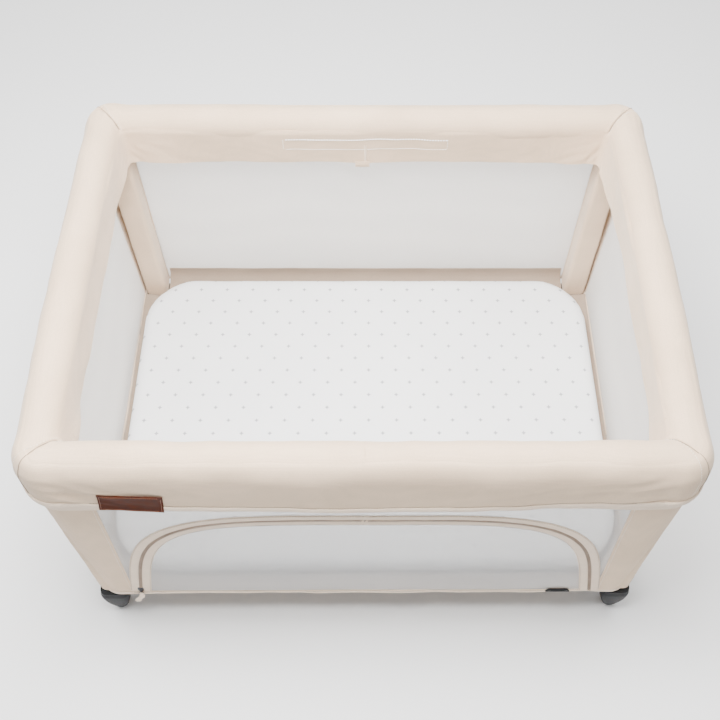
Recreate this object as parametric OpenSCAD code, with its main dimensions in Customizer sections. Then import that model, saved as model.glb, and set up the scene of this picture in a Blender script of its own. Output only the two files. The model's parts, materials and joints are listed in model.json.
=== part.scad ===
// Folding playpen: a steel frame that folds to a bundle, padded rails, mesh walls with a zipped door,
// and a mattress on a fabric floor. Origin on the ground below the middle; +X long side, +Y to the back.

/* [Frame] */
// Distance between the leg centres along the long side
leg_span_x = 990; // [900:10:1100]
// Distance between the leg centres along the short side
leg_span_y = 720; // [660:10:800]
// Height of the padded rail's top above the ground
height = 670; // [620:10:720]
// Outer radius of a leg tube
leg_r = 13; // [12:0.5:15]
// Outer radius of a half rail tube
rail_r = 10; // [8:0.5:11]
// Outer radius of a floor arm tube
arm_r = 8; // [7:0.5:9]
// Wall thickness of every tube
tube_wall = 1.2; // [1:0.1:1.5]
// Height of the floor arms' pivots above the ground
arm_z = 62; // [58:1:66]

/* [Pivots] */
// Distance from a leg's axis to its rail pivots
rail_pivot_in = 62; // [60:1:66]
// Distance from a latch housing's middle to its pivots
latch_pivot_in = 36; // [34:1:40]
// Distance in X and in Y from a leg's axis to its floor arm pivot
foot_pivot_in = 55; // [54:1:58]
// Radius of the pivot pins
pin_r = 4; // [3:0.5:5]
// Radial running clearance between a pin and the tube end that turns on it
pin_clearance = 0.05; // [0.02:0.01:0.1]

/* [Soft parts] */
// Outer radius of the padded rail cover
cover_r = 31.5; // [31:0.5:33]
// Height of the skirt's bottom binding above the ground
skirt_z = 538; // [510:2:560]
// Height of the mesh walls' bottom edge above the ground
wall_z = 112; // [108:1:116]
// Width of the zipped door at its bottom
door_w = 870; // [800:10:880]
// Height of the zipped door
door_h = 366; // [300:2:376]
// Height of the fabric floor's top above the ground
floor_z = 120; // [116:1:124]
// Thickness of the mattress
mattress_h = 44; // [30:1:60]

/* [Hidden] */
$fn = 48;

leg_x = leg_span_x / 2;
leg_y = leg_span_y / 2;
rail_z = height - cover_r;

// The four arms meet the hub at pivots this far in X and in Y from its middle, so that the frame closes
// with its legs twice (foot_pivot_in + hub_pivot_in) apart
hub_pivot_in = rail_pivot_in + latch_pivot_in - foot_pivot_in;
rail_len_x = leg_x - rail_pivot_in - latch_pivot_in;
rail_len_y = leg_y - rail_pivot_in - latch_pivot_in;
arm_len = norm([rail_len_x, rail_len_y]);
arm_turn = atan2(rail_len_y, rail_len_x);

// Fork and tube end that make one pivot
fork_r = 12;
fork_w = 24;
slot_w = 11;
tongue_w = 10;
tongue_r = 10;
tongue_share = 0.7;
tube_start = 14;
overrun = 1;

socket_r = 18;
socket_h = 34;
foot_top = 106;
foot_half = 29;
foot_corner = 17;
foot_waist = 44;
foot_sole_r = 18;
foot_sole_h = 1;
foot_sole_out = 6;
foot_bore_z = 20;
foot_bar_len = 62;
foot_bar_w = 21;
foot_bar_h = 18;
hub_r = 38;
hub_h = 28;
hub_fork_len = 40;
foot_fork_len = 24;

latch_w = 28;
button_r = 6;
button_gap = 0.3;
button_proud = 0.5;
button_travel = 3;
button_well = [32, 20, 6];

cover_bore = 25;
cover_leg_hole = 18;
sleeve_out = 20;
sleeve_in = 30;
sleeve_w = sleeve_out + sleeve_in;
sleeve_thick = 2;
fabric = 2;
wall_out = 33;
wall_low_out = 24;
wall_lean = atan((wall_out - wall_low_out) / (skirt_z - wall_z));
skirt_out = 37;
binding_out = 38.5;
binding_h = 8;
side_gap = 0.5;
band_h = 12;
door_gap = 2;
door_lean = 0.15;
door_power = 4.4;
door_steps = 28;
slider_size = [11, 3, 16];
slider_up = 20;
slider_travel = 150;
slider_turn = atan(door_w / 2 * (door_share(slider_up / door_h)
    - door_share((slider_up + slider_travel) / door_h)) / slider_travel);
tag_size = [100, 1.4, 50];
tag_x = -357;
clip_size = [48, 3, 12];
clip_x = 373;
mattress_corner_r = 118;
mattress_past_x = 10;
mattress_past_y = -8;
floor_gap = 5;
floor_past = wall_low_out - fabric - floor_gap;
floor_x = leg_x + floor_past;
floor_y = leg_y + floor_past;
floor_corner = sleeve_in + floor_past + 2 * overrun;

steel = "lightgray";
plastic = "dimgray";
cloth = "linen";
mesh = "whitesmoke";

// Children are drawn for the front left corner, at the leg's axis, and mirrored to corner [sx, sy]
module at_corner(sx, sy) {
    translate([sx * leg_x, sy * leg_y, 0]) toward_middle(sx, sy) children();
}

// Mirrors children drawn for the front left quarter to quarter [sx, sy]
module toward_middle(sx, sy) {
    mirror([sx > 0 ? 1 : 0, 0, 0]) mirror([0, sy > 0 ? 1 : 0, 0]) children();
}

module pin() {
    rotate([90, 0, 0]) cylinder(r = pin_r, h = fork_w, center = true);
}

// A block from the origin along +X that ends in two ears round a pin along Y at x = len
module fork(len, w = fork_w) {
    difference() {
        union() {
            translate([0, -w / 2, -fork_r]) cube([len, w, 2 * fork_r]);
            translate([len, 0, 0]) rotate([90, 0, 0]) cylinder(r = fork_r, h = w, center = true);
        }
        translate([len - fork_r, -slot_w / 2, -fork_r - overrun])
            cube([3 * fork_r, slot_w, 2 * (fork_r + overrun)]);
        translate([len, 0, 0]) rotate([90, 0, 0]) cylinder(r = pin_r, h = w + overrun, center = true);
    }
}

// A tube along +X with a flat eye at each end, from the pin at the origin to the pin at x = len
module link(len, r) {
    difference() {
        union() {
            for (x = [0, len]) translate([x, 0, 0])
                rotate([90, 0, 0]) cylinder(r = tongue_r, h = tongue_w, center = true);
            translate([0, -tongue_w / 2, -tongue_share * r])
                cube([tube_start + fork_r, tongue_w, 2 * tongue_share * r]);
            translate([len - tube_start - fork_r, -tongue_w / 2, -tongue_share * r])
                cube([tube_start + fork_r, tongue_w, 2 * tongue_share * r]);
            translate([tube_start, 0, 0]) rotate([0, 90, 0]) difference() {
                cylinder(r = r, h = len - 2 * tube_start);
                translate([0, 0, fork_r]) cylinder(r = r - tube_wall, h = len - 2 * (tube_start + fork_r));
            }
        }
        for (x = [0, len]) translate([x, 0, 0])
            rotate([90, 0, 0]) cylinder(r = pin_r + pin_clearance, h = fork_w, center = true);
    }
}

module leg_tube(sx, sy) {
    color(steel) at_corner(sx, sy) translate([0, 0, foot_bore_z]) difference() {
        cylinder(r = leg_r, h = rail_z - foot_bore_z);
        translate([0, 0, -overrun]) cylinder(r = leg_r - tube_wall, h = rail_z);
    }
}

module corner_bracket(sx, sy) {
    color(plastic) at_corner(sx, sy) translate([0, 0, rail_z]) difference() {
        union() {
            translate([0, 0, -socket_h / 2]) cylinder(r = socket_r, h = socket_h);
            fork(rail_pivot_in);
            mirror([1, -1, 0]) fork(rail_pivot_in);
        }
        translate([0, 0, -socket_h / 2 - overrun]) cylinder(r = leg_r, h = socket_h / 2 + overrun);
    }
}

module leg_pins(sx, sy) {
    color(steel) at_corner(sx, sy) {
        translate([rail_pivot_in, 0, rail_z]) pin();
        translate([0, rail_pivot_in, rail_z]) rotate([0, 0, 90]) pin();
        translate([foot_pivot_in, foot_pivot_in, arm_z]) rotate([0, 0, arm_turn]) pin();
    }
}

// A moulded boot round the leg's end, with a bar out to the floor arm's fork
module foot(sx, sy) {
    color(plastic) at_corner(sx, sy) difference() {
        union() {
            hull() {
                translate([-foot_sole_out, -foot_sole_out, 0]) cylinder(r = foot_sole_r, h = foot_sole_h);
                for (sx = [-1, 1], sy = [-1, 1])
                    translate([sx * foot_corner, sy * foot_corner, foot_waist])
                        cylinder(r = foot_half - foot_corner, h = foot_top - foot_waist, $fn = 32);
            }
            translate([0, 0, arm_z - foot_bar_h / 2]) rotate([0, 0, 45]) translate([0, -foot_bar_w / 2, 0])
                cube([foot_bar_len, foot_bar_w, foot_bar_h]);
            translate([foot_pivot_in, foot_pivot_in, arm_z]) rotate([0, 0, arm_turn])
                translate([-foot_fork_len, 0, 0]) fork(foot_fork_len);
        }
        translate([0, 0, foot_bore_z]) cylinder(r = leg_r, h = height);
    }
}

module leg_sleeve(sx, sy) {
    top = rail_z - cover_r - overrun;
    color(cloth) at_corner(sx, sy) translate([0, 0, wall_z]) difference() {
        translate([-sleeve_out, -sleeve_out, 0]) cube([sleeve_w, sleeve_w, top - wall_z]);
        translate([-sleeve_out + sleeve_thick, -sleeve_out + sleeve_thick, -overrun])
            cube([sleeve_w - 2 * sleeve_thick, sleeve_w - 2 * sleeve_thick, height]);
    }
}

// Half of a front or back rail, hinged at the corner bracket and at the latch housing
module long_rail(sx, sy) {
    color(steel) at_corner(sx, sy) translate([rail_pivot_in, 0, rail_z]) link(rail_len_x, rail_r);
}

// Half of a left or right rail
module short_rail(sx, sy) {
    color(steel) at_corner(sx, sy) translate([0, rail_pivot_in, rail_z])
        rotate([0, 0, 90]) link(rail_len_y, rail_r);
}

// Children are drawn for a rail along X, at its middle, and turned for the rail at side [dx, dy]
module at_rail(dx, dy) {
    translate([dx * leg_x, dy * leg_y, rail_z]) rotate([0, 0, dx == 0 ? 0 : 90]) children();
}

module latch(dx, dy) {
    color(plastic) at_rail(dx, dy) difference() {
        union() {
            fork(latch_pivot_in, latch_w);
            mirror([1, 0, 0]) fork(latch_pivot_in, latch_w);
            translate([-button_well.x / 2, -button_well.y / 2, -fork_r - button_well.z])
                cube([button_well.x, button_well.y, button_well.z + overrun]);
        }
        translate([0, 0, -fork_r - button_well.z - overrun])
            cylinder(r = button_r + button_gap, h = button_well.z + fork_r / 2 + overrun);
    }
}

module latch_pins(dx, dy) {
    color(steel) at_rail(dx, dy) for (s = [-1, 1]) translate([s * latch_pivot_in, 0, 0])
        rotate([90, 0, 0]) cylinder(r = pin_r, h = latch_w, center = true);
}

module latch_button(dx, dy) {
    color(plastic) at_rail(dx, dy) translate([0, 0, -fork_r - button_well.z - button_travel - button_proud])
        cylinder(r = button_r, h = button_well.z + button_travel + button_proud);
}

module floor_arm(sx, sy) {
    color(steel) at_corner(sx, sy) translate([foot_pivot_in, foot_pivot_in, arm_z])
        rotate([0, 0, arm_turn]) link(arm_len, arm_r);
}

// Children are drawn at the front left hub pivot, with +X along that arm towards its leg
module at_hub_pivot(sx, sy) {
    toward_middle(sx, sy) translate([-hub_pivot_in, -hub_pivot_in, arm_z])
        rotate([0, 0, 180 + arm_turn]) children();
}

module floor_hub() {
    color(plastic) {
        translate([0, 0, arm_z - hub_h / 2]) cylinder(r = hub_r, h = hub_h);
        for (sx = [-1, 1], sy = [-1, 1]) at_hub_pivot(sx, sy)
            translate([-hub_fork_len, 0, 0]) fork(hub_fork_len);
    }
}

module hub_pins() {
    color(steel) for (sx = [-1, 1], sy = [-1, 1]) at_hub_pivot(sx, sy) pin();
}

// Children are drawn for the front side, facing -Y, and turned to the side that faces [dx, dy]
module at_side(dx, dy) {
    rotate([0, 0, atan2(dy, dx) + 90]) children();
}

// The space of one side between the mitre planes through its two legs' axes
module mitred(half, out) {
    reach = 2 * skirt_out;
    linear_extrude(height + overrun) polygon([
        [-half - reach + side_gap, -out - reach], [half + reach - side_gap, -out - reach],
        [half - reach - side_gap, -out + reach], [-half + reach + side_gap, -out + reach]
    ]);
}

// A padded tube round one rail, mitred at both corners and open below for the legs
module rail_cover(half, out, dx, dy) {
    reach = half + cover_r;
    color(cloth) at_side(dx, dy) intersection() {
        mitred(half, out);
        difference() {
            translate([-reach, -out, rail_z]) rotate([0, 90, 0]) cylinder(r = cover_r, h = 2 * reach);
            translate([-reach - overrun, -out, rail_z]) rotate([0, 90, 0])
                cylinder(r = cover_bore, h = 2 * (reach + overrun));
            for (s = [-1, 1]) translate([s * half, -out, rail_z - cover_r - overrun])
                cylinder(r = cover_leg_hole, h = cover_r);
        }
    }
}

// Mesh wall with its bottom band, and the skirt that hangs from the rail cover outside the wall's top
module wall(half, out, dx, dy) {
    reach = half + binding_out;
    color(mesh) at_side(dx, dy) intersection() {
        mitred(half, out);
        translate([-reach, -out, 0]) rotate([90, 0, 90]) linear_extrude(2 * reach) polygon([
            [-wall_low_out + fabric, wall_z], [-wall_low_out, wall_z], [-wall_out, skirt_z],
            [-binding_out, skirt_z], [-binding_out, skirt_z + binding_h],
            [-skirt_out, skirt_z + binding_h], [-skirt_out, rail_z],
            [-skirt_out + fabric, rail_z], [-skirt_out + fabric, skirt_z + binding_h / 2],
            [-wall_out + fabric, skirt_z + binding_h / 2]
        ]);
    }
}

// Share of the door's half width left at a share h of its height: straight sides that lean in, round corners
function door_share(h) = pow(1 - pow(h, door_power), 1 / door_power) * (1 - door_lean * h);

// The arched door's outline, smaller all round by inset
module door_outline(inset) {
    half = door_w / 2 - inset;
    top = door_h - inset;
    steps = [for (i = [0 : door_steps]) sin(90 * i / door_steps)];
    right = [for (h = steps) [half * door_share(h), inset + (top - inset) * h]];
    left = [for (i = [door_steps : -1 : 0]) [-right[i].x, right[i].y]];
    polygon(concat(right, left));
}

// Children are drawn upright, outer face at y = 0 and z up from the front wall's bottom edge, and lean with it
module on_front_wall() {
    translate([0, -leg_y - wall_low_out, wall_z]) rotate([wall_lean, 0, 0]) children();
}

// The outline stood up in the front wall, from deep inside its outer face to proud outside it
module door_slab(inset, deep, proud) {
    on_front_wall() translate([0, deep, band_h]) rotate([90, 0, 0])
        linear_extrude(deep + proud) door_outline(inset);
}

module wall_front() {
    difference() {
        wall(leg_x, leg_y, 0, -1);
        color(mesh) door_slab(0, fabric + overrun, overrun);
        translate([tag_x - tag_size.x / 2 - side_gap, -leg_y - binding_out - overrun, skirt_z - overrun])
            cube([tag_size.x + 2 * side_gap, overrun + binding_out - skirt_out, tag_size.z]);
    }
}

module zip_door() {
    color(mesh) door_slab(door_gap, fabric, 0);
}

module zip_slider() {
    at = [-door_w / 2 * door_share(slider_up / door_h), -side_gap, band_h + slider_up];
    color(plastic) on_front_wall() translate(at) rotate([0, slider_turn, 0])
        translate([-slider_size.x / 2, -slider_size.y, -slider_size.z / 2]) cube(slider_size);
}

module leather_tag() {
    color("sienna") translate([tag_x - tag_size.x / 2, -leg_y - skirt_out - tag_size.y, skirt_z])
        cube(tag_size);
}

module door_clip() {
    color(plastic) on_front_wall() translate([clip_x - clip_size.x / 2, fabric + side_gap, 0])
        cube(clip_size);
}

module floor_fabric() {
    color(cloth) translate([0, 0, floor_z - fabric]) difference() {
        translate([-floor_x, -floor_y, 0]) cube([2 * floor_x, 2 * floor_y, fabric]);
        for (sx = [-1, 1], sy = [-1, 1]) toward_middle(sx, sy)
            translate([-floor_x - overrun, -floor_y - overrun, -overrun])
                cube([floor_corner, floor_corner, fabric + 2 * overrun]);
    }
}

module mattress() {
    r = mattress_corner_r;
    half_x = leg_x + mattress_past_x - r;
    half_y = leg_y + mattress_past_y - r;
    color("white") translate([0, 0, floor_z + side_gap]) linear_extrude(mattress_h) union() {
        square([2 * half_x, 2 * (half_y + r)], center = true);
        square([2 * (half_x + r), 2 * half_y], center = true);
        for (sx = [-1, 1], sy = [-1, 1]) translate([sx * half_x, sy * half_y]) circle(r = r);
    }
}

leg_tube(-1, -1);  // leg_tube_fl
leg_tube(1, -1);  // leg_tube_fr
leg_tube(-1, 1);  // leg_tube_bl
leg_tube(1, 1);  // leg_tube_br
corner_bracket(-1, -1);  // corner_bracket_fl
corner_bracket(1, -1);  // corner_bracket_fr
corner_bracket(-1, 1);  // corner_bracket_bl
corner_bracket(1, 1);  // corner_bracket_br
foot(-1, -1);  // foot_fl
foot(1, -1);  // foot_fr
foot(-1, 1);  // foot_bl
foot(1, 1);  // foot_br
leg_pins(-1, -1);  // leg_pins_fl
leg_pins(1, -1);  // leg_pins_fr
leg_pins(-1, 1);  // leg_pins_bl
leg_pins(1, 1);  // leg_pins_br
leg_sleeve(-1, -1);  // leg_sleeve_fl
leg_sleeve(1, -1);  // leg_sleeve_fr
leg_sleeve(-1, 1);  // leg_sleeve_bl
leg_sleeve(1, 1);  // leg_sleeve_br
long_rail(-1, -1);  // rail_front_left
long_rail(1, -1);  // rail_front_right
long_rail(-1, 1);  // rail_back_left
long_rail(1, 1);  // rail_back_right
short_rail(-1, -1);  // rail_left_front
short_rail(-1, 1);  // rail_left_back
short_rail(1, -1);  // rail_right_front
short_rail(1, 1);  // rail_right_back
latch(0, -1);  // latch_front
latch(0, 1);  // latch_back
latch(-1, 0);  // latch_left
latch(1, 0);  // latch_right
latch_pins(0, -1);  // latch_pins_front
latch_pins(0, 1);  // latch_pins_back
latch_pins(-1, 0);  // latch_pins_left
latch_pins(1, 0);  // latch_pins_right
latch_button(0, -1);  // latch_button_front
latch_button(0, 1);  // latch_button_back
latch_button(-1, 0);  // latch_button_left
latch_button(1, 0);  // latch_button_right
floor_arm(-1, -1);  // floor_arm_fl
floor_arm(1, -1);  // floor_arm_fr
floor_arm(-1, 1);  // floor_arm_bl
floor_arm(1, 1);  // floor_arm_br
floor_hub();
hub_pins();
rail_cover(leg_x, leg_y, 0, -1);  // rail_cover_front
rail_cover(leg_x, leg_y, 0, 1);  // rail_cover_back
rail_cover(leg_y, leg_x, -1, 0);  // rail_cover_left
rail_cover(leg_y, leg_x, 1, 0);  // rail_cover_right
wall_front();
wall(leg_x, leg_y, 0, 1);  // wall_back
wall(leg_y, leg_x, -1, 0);  // wall_left
wall(leg_y, leg_x, 1, 0);  // wall_right
zip_door();
zip_slider();
leather_tag();
door_clip();
floor_fabric();
mattress();
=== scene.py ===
import json
import math

import bmesh
import bpy
from mathutils import Matrix, Vector, noise


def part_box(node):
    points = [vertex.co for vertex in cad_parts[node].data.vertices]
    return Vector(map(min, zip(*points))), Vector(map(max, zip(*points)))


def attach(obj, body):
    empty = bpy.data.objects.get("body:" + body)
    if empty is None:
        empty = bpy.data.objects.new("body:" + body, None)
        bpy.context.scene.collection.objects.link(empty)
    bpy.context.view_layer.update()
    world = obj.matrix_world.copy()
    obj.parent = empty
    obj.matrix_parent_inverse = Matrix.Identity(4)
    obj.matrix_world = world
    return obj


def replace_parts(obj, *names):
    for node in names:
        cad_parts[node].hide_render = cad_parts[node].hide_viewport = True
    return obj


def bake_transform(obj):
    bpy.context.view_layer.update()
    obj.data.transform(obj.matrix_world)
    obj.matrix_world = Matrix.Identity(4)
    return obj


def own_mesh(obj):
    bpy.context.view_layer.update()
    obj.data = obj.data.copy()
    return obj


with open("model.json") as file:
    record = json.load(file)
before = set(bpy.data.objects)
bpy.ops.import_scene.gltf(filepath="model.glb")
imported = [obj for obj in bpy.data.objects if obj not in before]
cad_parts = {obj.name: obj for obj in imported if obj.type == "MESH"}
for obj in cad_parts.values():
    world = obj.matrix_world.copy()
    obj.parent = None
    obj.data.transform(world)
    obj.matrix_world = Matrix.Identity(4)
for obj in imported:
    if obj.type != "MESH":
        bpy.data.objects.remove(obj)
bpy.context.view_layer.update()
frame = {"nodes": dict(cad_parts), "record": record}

# ---------------------------------------------------------------- camera, lights and floor

CAMERA_AT = (0.0048, -1.0002, 1.9397)
CAMERA_DOWN = math.radians(57.08)
CAMERA_YAW = -0.0236
CAMERA_ROLL = 0.019
SENSOR, LENS = 36.0, 47.78
SHIFT_X, SHIFT_Y = -0.0282, -0.0153


def look():
    data = bpy.data.cameras.new("camera")
    data.sensor_width, data.lens = SENSOR, LENS
    data.shift_x, data.shift_y = SHIFT_X, SHIFT_Y
    data.clip_start, data.clip_end = 0.05, 60
    camera = bpy.data.objects.new("camera", data)
    bpy.context.scene.collection.objects.link(camera)
    turn = Matrix.Rotation(CAMERA_YAW, 4, "Z") @ Matrix.Rotation(math.pi / 2 - CAMERA_DOWN, 4, "X")
    camera.matrix_world = Matrix.Translation(CAMERA_AT) @ turn @ Matrix.Rotation(CAMERA_ROLL, 4, "Z")
    bpy.context.scene.camera = camera


def area_light(name, at, aim, size, watts):
    data = bpy.data.lights.new(name, "AREA")
    data.shape, data.size, data.energy = "DISK", size, watts
    light = bpy.data.objects.new(name, data)
    bpy.context.scene.collection.objects.link(light)
    light.location = at
    light.rotation_euler = (Vector(aim) - Vector(at)).to_track_quat("-Z", "Y").to_euler()
    light.visible_camera = False


def studio():
    world = bpy.data.worlds.new("studio")
    world.use_nodes = True
    background = world.node_tree.nodes["Background"]
    background.inputs["Color"].default_value = (1.0, 0.995, 0.985, 1)
    background.inputs["Strength"].default_value = 0.58
    bpy.context.scene.world = world
    area_light("overhead", (-0.25, -0.05, 2.5), (0, 0.02, 0.3), 1.5, 36)
    area_light("inside", (-0.1, -0.30, 1.9), (0, 0.38, 0.45), 0.8, 72)
    area_light("key", (-1.6, 0.3, 3.0), (0, 0, 0.4), 2.0, 80)
    area_light("top", (1.2, 0.9, 3.2), (0, 0, 0.3), 2.4, 62)


look()
studio()

# ---------------------------------------------------------------- sizes, from the frame


def middle(node):
    low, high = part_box(node)
    return (low + high) / 2


LEG_X, LEG_Y = middle("leg_tube_br").x, middle("leg_tube_br").y
RAIL_Z = middle("rail_front_left").z
COVER_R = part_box("rail_cover_front")[1].z - RAIL_Z
SKIRT_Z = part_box("leather_tag")[0].z
WALL_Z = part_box("wall_back")[0].z
TOP_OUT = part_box("wall_back")[1].y - LEG_Y
WALL_OUT, WALL_LOW_OUT = TOP_OUT - 0.0055, TOP_OUT - 0.0145
SKIRT_OUT = TOP_OUT - 0.0015
FLOOR_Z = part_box("floor_fabric")[1].z
DOOR_LOW, DOOR_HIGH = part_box("zip_door")
CORNER_R, INNER_R, CORNER_EASE = 0.019, 0.010, 0.066
BOW_Z, BOW_HIGH = 0.36, 0.2  # where a side starts to bow outward, and the height it takes
BOW = {"front": 0.0, "back": 0.0, "left": 0.005, "right": 0.004}
COLUMN = 0.070  # how far the corner pieces of the covers reach from the leg lines
TUCK_DEPTH = 0.0022
BORDER_TOP = {"front": 0.072, "right": 0.024, "back": 0.024, "left": 0.024}
BORDER_LOW = {"front": 0.046, "right": 0.028, "back": 0.028, "left": 0.028}
FOOT_SOLE_R = 0.0140
DOOR_HALF = DOOR_HIGH.x + 0.002
DOOR_Z = DOOR_LOW.z - 0.002
DOOR_H = DOOR_HIGH.z + 0.002 - DOOR_Z
DOOR_POWER, DOOR_LEAN = 4.4, 0.15

# The sides run round the playpen: each has its direction, its outward direction, the leg bodies at its
# start and its end, and the half rail bodies next to them
SIDES = {
    "front": ((1, 0), (0, -1), "leg_front_left", "leg_front_right", "rail_front_left", "rail_front_right"),
    "right": ((0, 1), (1, 0), "leg_front_right", "leg_back_right", "rail_right_front", "rail_right_back"),
    "back": ((-1, 0), (0, 1), "leg_back_right", "leg_back_left", "rail_back_right", "rail_back_left"),
    "left": ((0, -1), (-1, 0), "leg_back_left", "leg_front_left", "rail_left_back", "rail_left_front"),
}
COLUMNS = dict.fromkeys(SIDES, COLUMN)
CORNERS = {"fr": ("front", "right"), "br": ("right", "back"), "bl": ("back", "left"), "fl": ("left", "front")}
LEG_OF = {"fl": "leg_front_left", "fr": "leg_front_right", "bl": "leg_back_left", "br": "leg_back_right"}
WALL_LEG = {"front": "leg_front_left", "left": "leg_front_left", "right": "leg_front_right",
            "back": "leg_back_left"}  # the leg that each wall rides with
FORWARD = Vector((0, -1, 0))
SIGNS = {"fl": (-1, -1), "fr": (1, -1), "bl": (-1, 1), "br": (1, 1)}


def half_of(side):
    return LEG_X if SIDES[side][0][0] else LEG_Y


def out_of(side):
    return LEG_Y if SIDES[side][0][0] else LEG_X


def place(side, s, o, z):
    """The point s along a side from its middle, o outside its leg line and z up."""
    (ax, ay), (ox, oy) = SIDES[side][:2]
    out = out_of(side) + o
    return Vector((ax * s + ox * out, ay * s + oy * out, z))


def bent(side, s, o, z):
    """place(), but rounded at the side's corners, where s goes on by the leg line's arc."""
    half = half_of(side)
    o += BOW[side] * max(1 - (s / half) ** 2, 0) * smooth((z - BOW_Z) / BOW_HIGH)
    bend, ease = half - CORNER_R, half - CORNER_EASE
    turn = max(CORNER_R + o, INNER_R)
    start = half + o - turn
    along = abs(s)
    if along <= bend:
        if along > ease:
            along = ease + (along - ease) * (start - ease) / (bend - ease)
        return place(side, math.copysign(along, s), o, z)
    angle = (along - bend) / CORNER_R
    return place(side, math.copysign(start + turn * math.sin(angle), s), o - turn + turn * math.cos(angle), z)


def mitre_s(side):
    """The s at which a rounded line reaches the corner's mitre."""
    return half_of(side) - CORNER_R + CORNER_R * math.pi / 4


def in_corner(corner, reach, u):
    """(side, s) for u from -1 to 1 round a corner, to reach(side) before its leg lines."""
    before, after = CORNERS[corner]
    side = before if u < 0 else after
    s = mitre_s(side) - abs(u) * (mitre_s(side) - half_of(side) + reach(side))
    return side, s if u < 0 else -s


def in_span(side, reach, u):
    """(side, s) for u from -1 to 1 along a side between its corners."""
    return side, u * (half_of(side) - reach)


def wall_out(z):
    """Offset of the leaning wall's outer face."""
    return WALL_LOW_OUT + (WALL_OUT - WALL_LOW_OUT) * (z - WALL_Z) / (SKIRT_Z - WALL_Z)


def border_reach(side, z):
    return BORDER_LOW[side] + (BORDER_TOP[side] - BORDER_LOW[side]) * (z - WALL_Z) / (SKIRT_Z - WALL_Z)


# ---------------------------------------------------------------- mesh helpers


def surface(piece):
    return sum(face.area for face in piece.data.polygons)


def new_piece(name, verts, faces, material, smooth=True):
    mesh = bpy.data.meshes.new(name)
    mesh.from_pydata([tuple(v) for v in verts], [], faces)
    mesh.validate()
    mesh.update()
    piece = bpy.data.objects.new(name, mesh)
    bpy.context.scene.collection.objects.link(piece)
    mesh.materials.append(material)
    if smooth:
        soften(mesh)
    return piece


def grid_mesh(rows, wrap=False):
    """Vertices and quads of equally long rows of points. wrap joins each row's end to its start."""
    wide = len(rows[0])
    verts = [p for row in rows for p in row]
    faces = []
    for i in range(len(rows) - 1):
        for j in range(wide if wrap else wide - 1):
            k = (j + 1) % wide
            faces.append((i * wide + j, i * wide + k, (i + 1) * wide + k, (i + 1) * wide + j))
    return verts, faces


def soften(mesh):
    """Smooth shading, but crisp across sharp edges."""
    mesh.shade_smooth()
    mesh.set_sharp_from_angle(angle=math.radians(38))


def apply_modifiers(piece):
    bpy.context.view_layer.update()
    baked = bpy.data.meshes.new_from_object(piece.evaluated_get(bpy.context.evaluated_depsgraph_get()))
    piece.modifiers.clear()
    old, piece.data = piece.data, baked
    baked.name = old.name
    bpy.data.meshes.remove(old)
    return piece


def thicken(piece, thick, offset=0.0, bevel=0.0):
    solid = piece.modifiers.new("thick", "SOLIDIFY")
    solid.thickness, solid.offset, solid.use_even_offset = thick, offset, False
    if bevel:
        edges = piece.modifiers.new("bevel", "BEVEL")
        edges.width, edges.segments, edges.limit_method = bevel, 2, "ANGLE"
    apply_modifiers(piece)
    soften(piece.data)
    return piece


def reshape(piece, change):
    """Lets change(mesh) edit the piece's mesh as a bmesh."""
    mesh = bmesh.new()
    mesh.from_mesh(piece.data)
    change(mesh)
    mesh.to_mesh(piece.data)
    mesh.free()


def face_out(piece, outward):
    """Turns a sheet's faces to look along outward, a function of a face's middle."""
    def turn(mesh):
        for face in mesh.faces:
            face.normal_update()
            if face.normal.dot(outward(face.calc_center_median())) < 0:
                face.normal_flip()
    reshape(piece, turn)


def steps(a, b, n):
    return [a + (b - a) * i / n for i in range(n + 1)]


def smooth(t):
    t = min(max(t, 0.0), 1.0)
    return t * t * (3 - 2 * t)


def squircle(angle, power):
    """A point of a circle pulled towards a square, the more the smaller power is than 1."""
    c, n = math.cos(angle), math.sin(angle)
    return math.copysign(abs(c) ** power, c), math.copysign(abs(n) ** power, n)


def turns_of(count):
    return [2 * math.pi * i / count for i in range(count)]


def ripple(p, size, amount, seed=0.0):
    """A smooth swell of the fabric at p, with waves about size across."""
    return amount * noise.noise(Vector(p) / size + Vector((seed, seed * 0.37, 0)))


def soft_wave(p):
    """The wrinkles that all the cover fabric shares, so that pieces that meet stay level."""
    return ripple(p, 0.12, 0.0024) + ripple(p, 0.05, 0.0013, 7.0) + ripple(p, 0.02, 0.0004, 9.0)


# ---------------------------------------------------------------- materials


WAVE_SCALE = 0.314159  # pi / 10, a wave texture's scale for ridges one metre apart


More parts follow.
